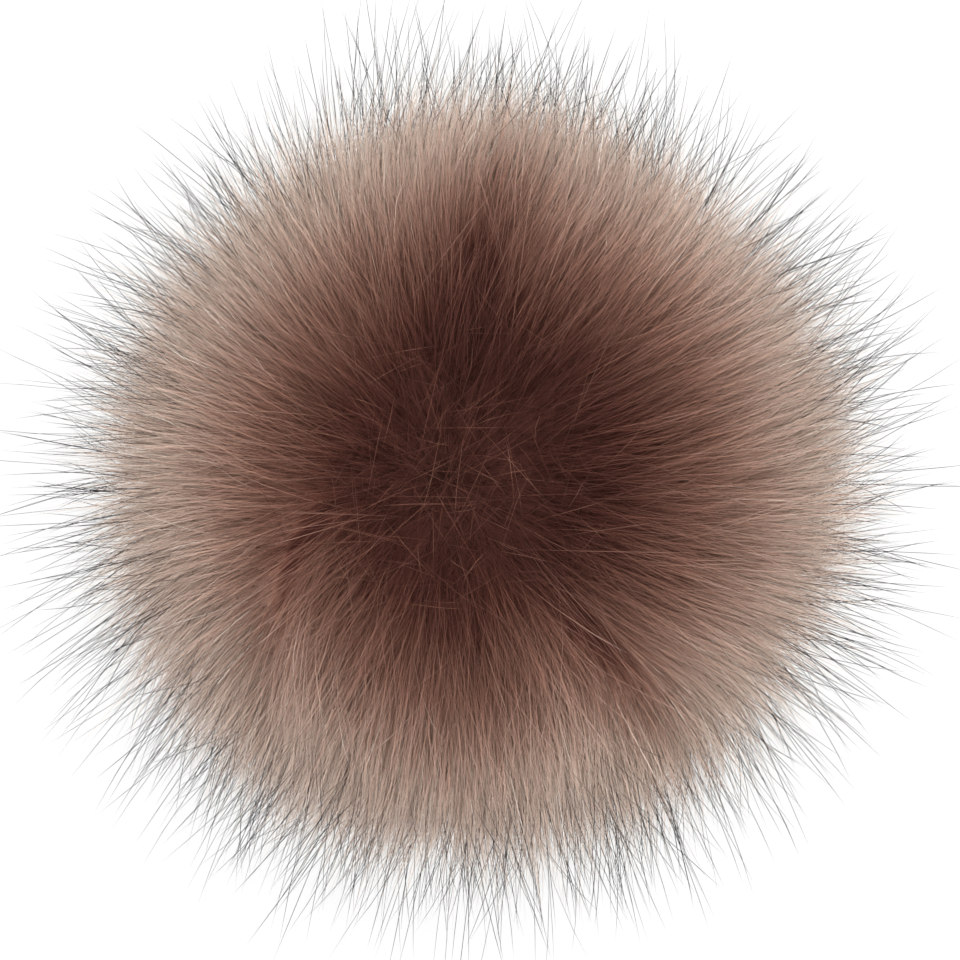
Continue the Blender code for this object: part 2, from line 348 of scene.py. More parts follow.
SWAYS = ((0.10, 2, 0.6), (0.06, 5, 2.1))  # sideways waves round the ball: radians, how many, and start
PARTING_GROOVE = 0.05  # how much less of its reach the pile has in a side parting
PRESSED_SHARE = 0.12  # how much further out of the fur the ends reach under the ball, where it rests
PRESSED_SLOPE, PRESSED_START = 3, 1.6  # that comes on as the slope times the way down, less the start
LONGEST_SHARE = 1.2  # of the fur's reach, for any end
STUD_CLEAR = 13.5 * MM  # from the press stud's axis to the ends of the pile
STUD_HIGH = 8 * MM  # up to this height
BASE_EASE = 2.5 * MM  # over which strands bend to lie along the base
LEVEL_JITTER, BEARING_JITTER, TUFT_JITTER = 0.6, 1.2, 0.8  # of the spacing
GOLDEN_TURN = math.pi * (3 - math.sqrt(5))
TUFTS = ((70, 0.10, 0.03), (1300, 0.16, 0.04))  # of each size: how many, their pull, their tone
TUFT_PULLS = (0.4, 1.3)  # times the pull, from strand to strand
TUFT_SEED, TUFT_TONE_SEED = 100, 200
# Each strand has a tone, from 0 to 1, and at the middle of that it is the plain dye.
TONES = (0.02, 0.98)  # the darkest and the palest
TONE_SPREAD = 0.06
TONE_LOSS = 0.03  # how much darker than the plain dye they are on the whole
PALE_STRANDS = 0.05  # the share of strands that took less dye
PALE_GAIN = (0.15, 0.45)  # and how much paler they are
DYE_SPREAD = 0.03  # of how far along the dye the ends are
DARK_STRAND, LIGHT_STRAND = 0.7, 1.3  # times the dye, at a tone of 0 and of 1
FACE_WIDTH = 0.0005  # of a strand on its baked map, so that none of its faces is a line there
Lay = namedtuple("Lay", "root tip bend shade root_dye dye")


def spread_over_ball(count, rng):
    """Even, slightly jittered bearings and angles from the crown, over the whole ball."""
    order = np.arange(count) + 0.5
    level = 1 - 2 * order / count + rng.normal(0, LEVEL_JITTER / math.sqrt(count), count)
    bearing = order * GOLDEN_TURN + rng.normal(0, BEARING_JITTER / math.sqrt(count), count)
    return bearing % math.tau, np.arccos(np.clip(level, -1, 1))


def gathered(ways, count, pull, seed):
    """The ways, each drawn towards the nearest of some tufts, and the number of that tuft."""
    rng = np.random.default_rng(seed)
    tufts = around(*spread_over_ball(count, rng))
    tufts += rng.normal(0, TUFT_JITTER / math.sqrt(count), tufts.shape)
    tree = KDTree(count)
    for number, tuft in enumerate(tufts):
        tree.insert(tuft, number)
    tree.balance()
    nearest = np.array([tree.find(way)[1] for way in ways])
    drawn = ways + (tufts[nearest] - ways) * (pull * rng.uniform(*TUFT_PULLS, (len(ways), 1)))
    return drawn / np.linalg.norm(drawn, axis=1, keepdims=True), nearest


def clear_of_stud(ends):
    """The ends, moved outwards where the press stud is."""
    from_axis = np.linalg.norm(ends[:, :2], axis=1)
    under = (ends[:, 2] < STUD_HIGH) & (from_axis < STUD_CLEAR)
    ends[under, :2] *= (STUD_CLEAR / from_axis[under])[:, None]
    return ends


def lay_of_strands(count, seed, share, share_spread, stray, bow, arch, tufts):
    """Where each strand starts and ends, how it bows, its tone and its dye with painted shade: arrays for
    all strands.

    share is how far out of the fur they reach, and stray how unevenly they point. bow is how far they
    bend any way, and arch how far they bend outwards, as a share of their length.
    """
    rng = np.random.default_rng(seed)
    bearing, polar = spread_over_ball(count, rng)
    collar_share = (1 - math.cos(math.radians(COLLAR))) / 2
    polar = np.arccos(1 - (1 - np.cos(polar)) * collar_share)
    root_way = around(bearing, polar)
    root = spots_in_fur(root_way, share_of_undercoat(root_way) - ROOT_SINK)
    end_polar = np.radians(np.interp(np.degrees(polar), ROOT_ANGLES, END_ANGLES))
    near_crown = np.exp(-((polar / CROWN_ANGLE) ** 2))
    wander = rng.normal(0, 1, (count, 3)) * (stray * (1 + CROWN_STRAY * near_crown))[:, None]
    sway = sum(size * np.sin(waves * bearing + start) for size, waves, start in SWAYS)
    turn, gap = side_partings(root_way)
    sway = sway * np.sin(polar) + turn
    way = around(bearing + sway, end_polar) + wander
    way /= np.linalg.norm(way, axis=1, keepdims=True)

    tone = rng.normal(0, TONE_SPREAD, count) - TONE_LOSS
    tone += (rng.uniform(0, 1, count) < PALE_STRANDS) * rng.uniform(*PALE_GAIN, count)
    for number, (tuft_count, pull, tone_spread) in enumerate(tufts):
        way, nearest = gathered(way, tuft_count, pull, TUFT_SEED + number)
        tuft_rng = np.random.default_rng(TUFT_TONE_SEED + number)
        tone += tuft_rng.normal(0, tone_spread, tuft_count)[nearest]

    length_share = share + rng.normal(0, share_spread, count)
    length_share *= 1 - CROWN_SHORTER * near_crown * rng.uniform(0, 1, count)
    length_share -= PARTING_GROOVE * gap
    length_share += PRESSED_SHARE * np.clip(-way[:, 2] * PRESSED_SLOPE - PRESSED_START, 0, 1)
    length_share = np.minimum(length_share, LONGEST_SHARE)
    tip = clear_of_stud(spots_in_fur(way, length_share))
    length = np.linalg.norm(tip - root, axis=1, keepdims=True)
    bend = (way + root_way) / 2 * length * arch + rng.normal(0, bow, (count, 3))
    # Painted shade: the dye is darker towards the crown and in the side partings.
    root_dye = dye_and_painted_shade(root_way) - ROOT_DEPTH - PARTING_SHADE * gap
    dye = dye_and_painted_shade(way) * length_share / share + rng.normal(0, DYE_SPREAD, count)
    return Lay(root, tip, bend, np.clip(0.5 + tone, *TONES), root_dye, np.clip(dye, 0, 1))


def new_tree(name, source, sizes, result):
    """A tree with an input for its source, each size and a finish, and an output for its result."""
    tree = bpy.data.node_groups.new(name, "GeometryNodeTree")
    sockets = tree.interface
    sockets.new_socket(name=source, in_out="INPUT", socket_type="NodeSocketGeometry")
    for label, usual in sizes.items():
        kind = "NodeSocketInt" if isinstance(usual, int) else "NodeSocketFloat"
        sockets.new_socket(name=label, in_out="INPUT", socket_type=kind).default_value = usual
    sockets.new_socket(name="Finish", in_out="INPUT", socket_type="NodeSocketMaterial")
    sockets.new_socket(name=result, in_out="OUTPUT", socket_type="NodeSocketGeometry")
    return tree, add_node(tree, "NodeGroupInput").outputs, Maths(tree)


def finished(tree, given, geometry, name):
    """Ends a tree: its geometry takes the finish, and goes out by this name."""
    inputs = {"Geometry": geometry, "Material": given["Finish"]}
    dressed = add_node(tree, "GeometryNodeSetMaterial", inputs)
    add_node(tree, "NodeGroupOutput", {name: dressed.outputs["Geometry"]})
    return tree


def make_strand_tree():
    """A tree that stands one pointed, three-sided strand on each guide, from root to tip."""
    sizes = {"Girth": 0.1 * MM, "Bends": 1, "Tip Share": 0.8, "Ring Skew": 1.0, "Lowest": 0.3 * MM}
    tree, given, m = new_tree("strands_on_guides", "Guides", {**sizes, "Seed": 1}, "Strands")

    cone = {"Vertices": 3, "Radius Top": 0, "Radius Bottom": 1, "Depth": 1}
    cone["Side Segments"] = m.number("ADD", given["Bends"], 1)
    unit = add_node(tree, "GeometryNodeMeshCone", cone, fill_type="NGON")
    place = add_node(tree, "GeometryNodeInputPosition").outputs["Position"]
    outwards = m.vector("NORMALIZE", m.vector("MULTIPLY", place, (1, 1, 0)))
    along = m.number("POWER", m.number("MAXIMUM", m.split(place)[2], 0), given["Ring Skew"])
    unit_strand = m.store(unit.outputs["Mesh"], "climb", "FLOAT", along)
    unit_strand = m.store(unit_strand, "ring", "FLOAT_VECTOR", outwards)

    inputs = {"Points": given["Guides"], "Instance": unit_strand}
    stood = add_node(tree, "GeometryNodeInstanceOnPoints", inputs).outputs["Instances"]
    index = add_node(tree, "GeometryNodeInputIndex").outputs["Index"]
    inputs = {"Min": (-1, -1, -1), "Seed": given["Seed"], "ID": index}
    spin = add_node(tree, "FunctionNodeRandomValue", inputs, data_type="FLOAT_VECTOR").outputs["Value"]
    spun = m.store(stood, "spin", "FLOAT_VECTOR", spin, "INSTANCE")
    real = add_node(tree, "GeometryNodeRealizeInstances", {"Geometry": spun}).outputs["Geometry"]

    root, tip = m.attribute("root", "FLOAT_VECTOR"), m.attribute("tip", "FLOAT_VECTOR")
    climb = m.attribute("climb", "FLOAT")
    out = m.vector("SUBTRACT", tip, root)
    hump = m.number("MULTIPLY", m.number("MULTIPLY", climb, m.number("SUBTRACT", 1, climb)), 4)
    middle = m.vector("ADD", root, m.scaled(out, climb))
    middle = m.vector("ADD", middle, m.scaled(m.attribute("bend", "FLOAT_VECTOR"), hump))
    x, y, z = m.split(middle)
    spine = m.joined(x, y, m.number("SMOOTH_MAX", z, given["Lowest"], BASE_EASE))

    side = m.vector("NORMALIZE", m.vector("CROSS_PRODUCT", out, m.attribute("spin", "FLOAT_VECTOR")))
    other = m.vector("NORMALIZE", m.vector("CROSS_PRODUCT", out, side))
    ring_x, ring_y, _ = m.split(m.attribute("ring", "FLOAT_VECTOR"))
    tapered = m.number("MULTIPLY", climb, m.number("SUBTRACT", 1, given["Tip Share"]))
    girth = m.number("MULTIPLY", given["Girth"], m.attribute("girth", "FLOAT"))
    girth = m.number("MULTIPLY", girth, m.number("SUBTRACT", 1, tapered))
    offset = m.vector("ADD", m.scaled(side, ring_x), m.scaled(other, ring_y))
    inputs = {"Geometry": real, "Position": m.vector("ADD", spine, m.scaled(offset, girth))}
    moved = add_node(tree, "GeometryNodeSetPosition", inputs).outputs["Geometry"]

    # along carries the dye and the painted shade of the crown and of the side partings.
    root_dye = m.attribute("root_dye", "FLOAT")
    paling = m.number("SUBTRACT", m.attribute("dye", "FLOAT"), root_dye)
    dye_place = m.number("MULTIPLY_ADD", climb, paling, root_dye)
    shade_place = m.number("MULTIPLY_ADD", ring_x, FACE_WIDTH, m.attribute("shade", "FLOAT"))
    dyed_strands = m.store(moved, "along", "FLOAT", dye_place)
    bake_place = m.joined(shade_place, dye_place, 0)
    mapped = m.store(dyed_strands, "OFBake", "FLOAT2", bake_place, "CORNER")
    return finished(tree, given, mapped, "Strands")


def plain_mesh(name, source, tree, values):
    """A plain mesh from a source mesh and a node tree, given the tree's named inputs."""
    maker = bpy.data.objects.new(name + "_source", source)
    bpy.context.scene.collection.objects.link(maker)
    modifier = maker.modifiers.new("made", "NODES")
    modifier.node_group = tree
    for item in tree.interface.items_tree:
        if item.in_out == "INPUT" and item.name in values:
            modifier[item.identifier] = values[item.name]
    mesh = bpy.data.meshes.new_from_object(maker.evaluated_get(bpy.context.evaluated_depsgraph_get()))
    mesh.name = name
    mesh.shade_smooth()
    bpy.data.objects.remove(maker)
    return mesh


def make_strands(name, lay, shape, finish, seed):
    """One piece of strands, stood on the guides that its lay gives."""
    guides = bpy.data.meshes.new(name + "_guides")
    guides.vertices.add(len(lay.root))
    guides.vertices.foreach_set("co", lay.root.ravel())
    girths = np.random.default_rng(seed).uniform(*GIRTHS, len(lay.root))
    for label, values in {**lay._asdict(), "girth": girths}.items():
        kind, field = ("FLOAT_VECTOR", "vector") if values.ndim == 2 else ("FLOAT", "value")
        guide = guides.attributes.new(label, kind, "POINT")
        guide.data.foreach_set(field, values.astype("float32").ravel())
    mesh = plain_mesh(name, guides, strand_tree, {**shape, "Seed": seed, "Finish": finish})
    for label in ("root", "tip", "bend", "spin", "ring", "girth", "root_dye", "dye", "climb"):
        if label in mesh.attributes:
            mesh.attributes.remove(mesh.attributes[label])
    return new_piece(name, mesh)


def dyed(name, stops):
    """A pile finish: the dye and painted shade run along the strand, and each strand is a little darker or
    lighter.
    """
    finish, tree, shader = principled(name, roughness=0.6, specular=0.1)
    m = Maths(tree)
    dye = ramp(tree, stops, layer(tree, "along"))
    tone = m.number("MULTIPLY_ADD", layer(tree, "shade"), LIGHT_STRAND - DARK_STRAND, DARK_STRAND)
    tree.links.new(m.scaled(dye, tone), shader.inputs["Base Color"])
    return finish


strand_tree = make_strand_tree()
pile_dye = dyed("dyed_pile", DYE)
for quarter in range(PILE_PIECES):
    lay = lay_of_strands(
        STRANDS_IN_A_PIECE, 10 + quarter, share=0.85, share_spread=0.075, stray=0.03, bow=0.35 * MM,
        arch=0.09, tufts=TUFTS,
    )
    make_strands(f"pile_{quarter + 1}", lay, PILE_SHAPE, pile_dye, 20 + quarter)


# ---- The guard hairs and the pale hairs ------------------------------------------------------------
# Longer, straighter hairs between the pile, with fine black tips that stand past the dense fur, and a
# few pale hairs of the pile's own length, which took less dye and lie on it as crisp lines.

GUARD_HAIRS = 5700
GUARD_SHAPE = {"Girth": 0.038 * MM, "Bends": 2, "Tip Share": 0.95, "Ring Skew": 0.6}
GUARD_TUFTS = ((1100, 0.22, 0.04),)
GUARD_DYE = [
    (0.30, linear(52, 26, 21)),
    (0.50, linear(66, 36, 30)),
    (0.70, linear(120, 88, 76)),
    (0.89, linear(160, 136, 123)),
    (0.935, linear(40, 36, 36)),
    (1.0, linear(14, 13, 15)),
]
PALE_HAIRS = 1000
PALE_SHAPE = {"Girth": 0.046 * MM, "Bends": 2, "Tip Share": 0.6, "Ring Skew": 0.8}
PALE_TUFTS = ((260, 0.35, 0.04),)
PALE_LIFT = 0.13  # how much further along the dye the pale hairs are than the pile beside them
guard_dye = dyed("black_tipped_hair", GUARD_DYE)
lay = lay_of_strands(
    GUARD_HAIRS, 31, share=1.01, share_spread=0.095, stray=0.09, bow=0.3 * MM, arch=0.04, tufts=GUARD_TUFTS
)
make_strands("guard_hairs", lay, GUARD_SHAPE, guard_dye, 41)
lay = lay_of_strands(
    PALE_HAIRS, 33, share=0.88, share_spread=0.05, stray=0.06, bow=0.4 * MM, arch=0.11, tufts=PALE_TUFTS
)
lay = lay._replace(root_dye=lay.root_dye + PALE_LIFT, dye=np.clip(lay.dye + PALE_LIFT, 0, 1))
make_strands("pale_hairs", lay, PALE_SHAPE, pile_dye, 42)


# ---- The loose hairs of the crown -----------------------------------------------------------------
# Hairs that the gathering has drawn up to the crown. They lie over the parting every way, in shallow
# arcs on top of the pile, and are a little paler than the dark pile under them.

LOOSE_HAIRS = 280
LOOSE_SHAPE = {"Girth": 0.038 * MM, "Bends": 2, "Tip Share": 0.7, "Ring Skew": 0.8}
LOOSE_SPREAD = 10 * MM  # of their middles from the parting
LOOSE_LENGTH = (6 * MM, 20 * MM)
LOOSE_HEIGHT = 87 * MM  # of the lowest ones at the crown
LOOSE_LAYER = 5 * MM  # from those up to the highest
LOOSE_DROP = 1.2 * MM  # how much lower they are at LOOSE_SPREAD from the parting
LOOSE_SINK = 4 * MM  # of their roots in the pile
LOOSE_RISE = (-1, 4)  # mm, of their tips
LOOSE_BOW = 0.35 * MM
LOOSE_ARCH = 1.2 * MM
LOOSE_TONE_SPREAD = 0.12
LOOSE_ROOT_DYE = 0.5
LOOSE_DYE = (0.5, 0.8)


def lay_of_loose_hairs(count, seed):
    """The same arrays for hairs that lie crosswise over the crown."""
    rng = np.random.default_rng(seed)
    middle = rng.normal(0, 1, (count, 2)) * LOOSE_SPREAD + PARTING
    heading = rng.uniform(0, math.tau, count)
    half = rng.uniform(*LOOSE_LENGTH, count) / 2
    run = np.stack((np.cos(heading), np.sin(heading)), axis=1) * half[:, None]
    away = np.linalg.norm(middle - PARTING, axis=1) / LOOSE_SPREAD
    height = LOOSE_HEIGHT + rng.uniform(0, LOOSE_LAYER, count) - LOOSE_DROP * away**2
    root = np.column_stack((middle - run, height - LOOSE_SINK))
    tip = np.column_stack((middle + run, height + rng.uniform(*LOOSE_RISE, count) * MM))
    bend = rng.normal(0, LOOSE_BOW, (count, 3)) + np.array([0, 0, LOOSE_ARCH])
    shade = np.clip(rng.normal(0.5, LOOSE_TONE_SPREAD, count), *TONES)
    return Lay(root, tip, bend, shade, np.full(count, LOOSE_ROOT_DYE), rng.uniform(*LOOSE_DYE, count))


make_strands("loose_crown_hairs", lay_of_loose_hairs(LOOSE_HAIRS, 51), LOOSE_SHAPE, pile_dye, 52)


# ---- The discs of the press stud -------------------------------------------------------------------
# Two discs are pressed from nickelled steel sheet, their edges rolled over and six sewing slots punched
# through each. The stud disc's hollow head comes down through the socket disc's hole.

# These sizes are in mm, and so are the sections, as (radius, height).
DISC_RADIUS = 10.5
SHEET = 0.45
BEAD_RADIUS = 0.4  # of the rolled edges
SOCKET_CORNER = 0.9
SOCKET_TOP = 3.35  # of the socket disc's floor, near its wall
WELL_TOP = 3.25  # and inside the pressed ring
PLATEAU_TOP = 3.0  # of the ring round the hole, which stands down from the floor
LIP_TOP = 2.92  # at the hole's rim
WELL_STEP = (8.85, 8.45)  # radii that the floor steps down between, to each of those three
PLATEAU_STEP = (5.75, 5.25)
LIP_STEP = (4.65, 4.3)
LIP_ROUND = 0.2
HOLE_RADIUS = 3.4
NECK_RADIUS = 1.95
NECK_FLARE = 0.85
NECK_FOOT = 1.45
NECK_CREASE = ((0.12, 0.02), (0, 0.15))  # where the neck meets the head, out and up from the neck's foot
HEAD_RADIUS = 3.05
HEAD_ROUND = 0.62
HEAD_BOTTOM = 0.25
HEAD_DIMPLE = 0.07  # how far the middle of the head's face stands back
DIMPLE_FLAT = 0.8  # the radius of its flat
DIMPLE_STEP = (1.15, 1.5)
HEAD_FLAT = 1.9  # the radius of the flat inside the head
STUD_UNDERSIDE = 3.65
STUD_EDGE_TOP = 5.0
STUD_EDGE_ROUND = 0.6
EDGE_GAP = 0.2  # from the stud disc's upturned edge to where its floor is level inside
SLOTS = 6
SLOT_PITCH = 7.4  # the radius that the slots' middles lie on
SLOT_WIDTH = 2.05
SLOT_LENGTH = 3.1
RIM_HEIGHT = 0.165  # from the middle of the sheet to where a slot flares out
RIM_FLARE = 0.8
SLIVER = 0.001  # corners that the slots' cut leaves this close are joined
TURN_STEPS = 96
CREASE = math.radians(38)  # edges sharper than this are shaded sharp
EDGE_WEAR_AND_HIGHLIGHT = (10.0, 10.35)  # radii between which the plating turns bright: partly rubbed plating, partly a painted highlight
WALL_SHADE_RADII = (8.9, 9.7)  # and darker, with painted shade, from here out to the bright edge
HEAD_SHADE_RADII = ((1.95, 2.5), (3.4, 4.1))  # and painted shade again between here, where it begins and ends, round the hole and the head's edge
WORN_HIGHLIGHT_GAIN, SHADE_LOSS, SCRATCH_LOSS = 0.14, 0.52, 0.15  # of brightness
SCRATCH_TURN = math.radians(34)
STEEL_RELIEF = 0.012
PLATING = [
    (0.30, linear(158, 151, 148)),
    (0.45, linear(200, 193, 189)),
    (0.60, linear(220, 212, 207)),
    (0.75, linear(206, 197, 193)),
]


def bent(radius_at, height_at, size, start_deg, end_deg, steps):
    """Points of a round bend in a section."""
    turn = np.radians(np.linspace(start_deg, end_deg, steps + 1))
    return [(radius_at + size * math.cos(a), height_at + size * math.sin(a)) for a in turn]


def pressed(radii, heights, steps=4):
    """Points of a soft step pressed into the sheet, from the first radius and height to the second."""
    (start, end), (low, high) = radii, heights
    shares = np.linspace(0, 1, steps + 1)
    eased = shares * shares * (3 - 2 * shares)
    return [(start + (end - start) * s, low + (high - low) * rise) for s, rise in zip(shares, eased)]


def turned(name, section, closed):
    """A mesh turned about the Z axis from its section. An open section starts and ends on the axis."""
    bm = bmesh.new()
    verts = [bm.verts.new((radius * MM, 0, height * MM)) for radius, height in section]
    pairs = list(zip(verts, verts[1:]))
    if closed:
        pairs.append((verts[-1], verts[0]))
    edges = [bm.edges.new(pair) for pair in pairs]
    whole = {"cent": (0, 0, 0), "axis": (0, 0, 1), "angle": math.tau, "steps": TURN_STEPS}
    bmesh.ops.spin(bm, geom=verts + edges, use_merge=True, **whole)
    bmesh.ops.remove_doubles(bm, verts=bm.verts, dist=0.0005 * MM)
    bmesh.ops.recalc_face_normals(bm, faces=bm.faces)
    mesh = bpy.data.meshes.new(name)
    bm.to_mesh(mesh)
    bm.free()
    return mesh


def make_slot_tree():
    """A tree that punches round-ended slots, with softened rims, through a disc's sheet."""
    sizes = {"Sheet Height": 0.0, "Count": SLOTS, "Pitch Radius": SLOT_PITCH * MM}
    sizes.update({"Slot Width": SLOT_WIDTH * MM, "Slot Length": SLOT_LENGTH * MM})
    sizes["Rim Height"] = RIM_HEIGHT * MM
    tree, given, m = new_tree("punched_slots", "Disc", sizes, "Punched Disc")

    # The punch is a round bar, straight through the sheet and flared past both of its faces.
    bar = {"Vertices": 28, "Side Segments": 4, "Radius": 1, "Depth": 2}
    punch = add_node(tree, "GeometryNodeMeshCylinder", bar, fill_type="NGON").outputs["Mesh"]
    x, y, z = m.split(add_node(tree, "GeometryNodeInputPosition").outputs["Position"])
    level = m.number("ABSOLUTE", z)
    flare = m.number("MAXIMUM", m.number("SUBTRACT", level, 0.5), 0)
    flare = m.number("MULTIPLY", flare, RIM_FLARE * MM)
    straight = m.number("MULTIPLY", m.number("MINIMUM", level, 0.5), 2)
    straight = m.number("MULTIPLY", straight, given["Rim Height"])
    height = m.number("MULTIPLY", m.number("SIGN", z), m.number("ADD", straight, flare))
    half_width = m.number("ADD", m.number("MULTIPLY", given["Slot Width"], 0.5), flare)
    run = m.number("MULTIPLY", m.number("SUBTRACT", given["Slot Length"], given["Slot Width"]), 0.5)
    along = m.number("MULTIPLY_ADD", m.number("SIGN", y), run, m.number("MULTIPLY", y, half_width))
    across = m.number("MULTIPLY", x, half_width)
    place = m.joined(across, along, m.number("ADD", height, given["Sheet Height"]))
    shaped = add_node(tree, "GeometryNodeSetPosition", {"Geometry": punch, "Position": place})

    inputs = {"Vertices": given["Count"], "Radius": given["Pitch Radius"]}
    ring = add_node(tree, "GeometryNodeMeshCircle", inputs).outputs["Mesh"]
    inputs = {"Vector": add_node(tree, "GeometryNodeInputPosition").outputs["Position"]}
    facing = add_node(tree, "FunctionNodeAlignRotationToVector", inputs, axis="X", pivot_axis="Z")
    inputs = {"Points": ring, "Instance": shaped.outputs["Geometry"], "Rotation": facing.outputs["Rotation"]}
    stood = add_node(tree, "GeometryNodeInstanceOnPoints", inputs).outputs["Instances"]
    real = add_node(tree, "GeometryNodeRealizeInstances", {"Geometry": stood}).outputs["Geometry"]

    inputs = {"Mesh 1": given["Disc"], "Mesh 2": real}
    cut = add_node(tree, "GeometryNodeMeshBoolean", inputs, operation="DIFFERENCE", solver="EXACT")
    inputs = {"Geometry": cut.outputs["Mesh"], "Distance": SLIVER * MM}
    joined = add_node(tree, "GeometryNodeMergeByDistance", inputs)
    return finished(tree, given, joined.outputs["Geometry"], "Punched Disc")


def creased_piece(name, source, tree, values):
    """A piece with creases, grown from a source mesh by a node tree."""
    mesh = plain_mesh(name, source, tree, values)
    mesh.set_sharp_from_angle(angle=CREASE)
    return new_piece(name, mesh)


def socket_section():
    """The socket disc, open side down: rolled edge, wall, floor with a pressed ring, and the hole's lip."""
    wall = DISC_RADIUS - SHEET
    inner_bend = SOCKET_CORNER - SHEET
    socket_floor, well, plateau, lip = (z - SHEET for z in (SOCKET_TOP, WELL_TOP, PLATEAU_TOP, LIP_TOP))
    return [
        *bent(DISC_RADIUS - BEAD_RADIUS, BEAD_RADIUS, BEAD_RADIUS, 112.5, 360, 14),
        *bent(DISC_RADIUS - SOCKET_CORNER, SOCKET_TOP - SOCKET_CORNER, SOCKET_CORNER, 0, 90, 6),
        *pressed(WELL_STEP, (SOCKET_TOP, WELL_TOP)),
        *pressed(PLATEAU_STEP, (WELL_TOP, PLATEAU_TOP)),
        *pressed(LIP_STEP, (PLATEAU_TOP, LIP_TOP)),
        *bent(HOLE_RADIUS + LIP_ROUND, LIP_TOP - LIP_ROUND, LIP_ROUND, 90, 180, 4),
        *bent(HOLE_RADIUS + LIP_ROUND, lip + LIP_ROUND, LIP_ROUND, 180, 270, 4),
        *pressed(LIP_STEP[::-1], (lip, plateau)),
        *pressed(PLATEAU_STEP[::-1], (plateau, well)),
        *pressed(WELL_STEP[::-1], (well, socket_floor)),
        *bent(wall - inner_bend, socket_floor - inner_bend, inner_bend, 90, 0, 5),
    ]


def stud_section():
    """The stud disc, from the middle of its head's face, up its outside, and back down inside."""
    stud_top = STUD_UNDERSIDE + SHEET
    neck_top = STUD_UNDERSIDE - NECK_FLARE
    head_level = HEAD_BOTTOM + HEAD_ROUND
    head_inside = HEAD_BOTTOM + SHEET
    dimple = HEAD_BOTTOM + HEAD_DIMPLE
    return [
        (0, dimple),
        (DIMPLE_FLAT, dimple),
        *pressed(DIMPLE_STEP, (dimple, HEAD_BOTTOM)),
        *bent(HEAD_RADIUS - HEAD_ROUND, head_level, HEAD_ROUND, -90, 60, 10),
        *((NECK_RADIUS + out, NECK_FOOT + up) for out, up in NECK_CREASE),
        *bent(NECK_RADIUS + NECK_FLARE, neck_top, NECK_FLARE, 180, 90, 6),
        *bent(DISC_RADIUS - STUD_EDGE_ROUND, STUD_UNDERSIDE + STUD_EDGE_ROUND, STUD_EDGE_ROUND, -90, 0, 5),
        *bent(DISC_RADIUS - BEAD_RADIUS, STUD_EDGE_TOP - BEAD_RADIUS, BEAD_RADIUS, 0, 247.5, 12),
        (DISC_RADIUS - SHEET - EDGE_GAP, stud_top),
        *bent(NECK_RADIUS + NECK_FLARE, neck_top, NECK_FLARE + SHEET, 90, 180, 6),
        (NECK_RADIUS - SHEET, NECK_FOOT - SHEET),
        (HEAD_RADIUS - SHEET, head_level),
        (HEAD_FLAT, head_inside),
        (0, head_inside),
    ]


def plated_steel():
    """Worn nickel: rings from the press, smudges, scratches, painted shade and a partly painted bright edge.
    """
    finish, tree, shader = principled("worn_nickel_and_painted_shade", roughness=0.3, metallic=1.0)
    m = Maths(tree)
    place = place_on_piece(tree)
    radius = m.vector("LENGTH", m.vector("MULTIPLY", place, (1, 1, 0)))
    inputs = {"Vector": place, "Rotation": (0, 0, SCRATCH_TURN), "Scale": (350, 9000, 350)}
    along_scratches = add_node(tree, "ShaderNodeMapping", inputs).outputs["Vector"]
    smudges = noise(tree, place, 330, detail=4, roughness=0.62)
    grains = noise(tree, place, 5200)
    press_lines = noise(tree, radius, 5000, detail=1, dimensions="1D")
    scratches = noise(tree, along_scratches, 1)

    def between(radii, start, end):
        """Eased from start to end between two radii."""
        return m.mapped(radius, radii[0] * MM, radii[1] * MM, start, end)

    # Brighter at the rolled edge: partly rubbed plating, partly a painted highlight.
    worn = between(EDGE_WEAR_AND_HIGHLIGHT, 0, 1)
    fine = m.mapped(scratches, 0.62, 0.70, 1.0, 1.0 - SCRATCH_LOSS)
    # Painted shade darkens the plating along the socket's wall, round the hole and over the head's edge.
    wall = m.number("SUBTRACT", between(WALL_SHADE_RADII, 0, 1), worn)
    head_edge = m.number("MULTIPLY", between(HEAD_SHADE_RADII[0], 0, 1), between(HEAD_SHADE_RADII[1], 1, 0))
    painted_shade = m.number("MAXIMUM", wall, head_edge)
    bright = m.number("MULTIPLY_ADD", painted_shade, -SHADE_LOSS, fine)
    bright = m.number("MULTIPLY_ADD", worn, WORN_HIGHLIGHT_GAIN, bright)
    plating = ramp(tree, PLATING, smudges)
    tree.links.new(m.scaled(plating, bright), shader.inputs["Base Color"])
    rough = m.mapped(smudges, 0.35, 0.65, 0.34, 0.16)
    rough = m.number("MULTIPLY_ADD", worn, -0.08, rough)
    rough = m.number("MULTIPLY_ADD", grains, 0.08, rough)
    tree.links.new(rough, shader.inputs["Roughness"])
    relief = m.number("MULTIPLY_ADD", grains, 0.35, press_lines)
    bump(tree, shader, m.number("MULTIPLY_ADD", fine, 0.5, relief), STEEL_RELIEF * MM)
    return finish


slot_tree = make_slot_tree()
nickel = plated_steel()
socket_disc = creased_piece(
    "socket_disc_pressed",
    turned("socket_disc_pressed", socket_section(), closed=True),
    slot_tree,
    {"Sheet Height": (WELL_TOP - SHEET / 2) * MM, "Finish": nickel},
)
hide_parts("socket_disc")
stud_disc = creased_piece(
    "stud_disc_pressed",
    turned("stud_disc_pressed", stud_section(), closed=False),
    slot_tree,
    {"Sheet Height": (STUD_UNDERSIDE + SHEET / 2) * MM, "Finish": nickel},
)
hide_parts("stud_disc")


# ---- The springs and the stitches -------------------------------------------------------------------
# Each spring of round wire grips the stud's neck, turns over a hook and braces its foot against the
# socket disc's wall. Four loops of twisted thread through each slot sew the stud disc to the fur.

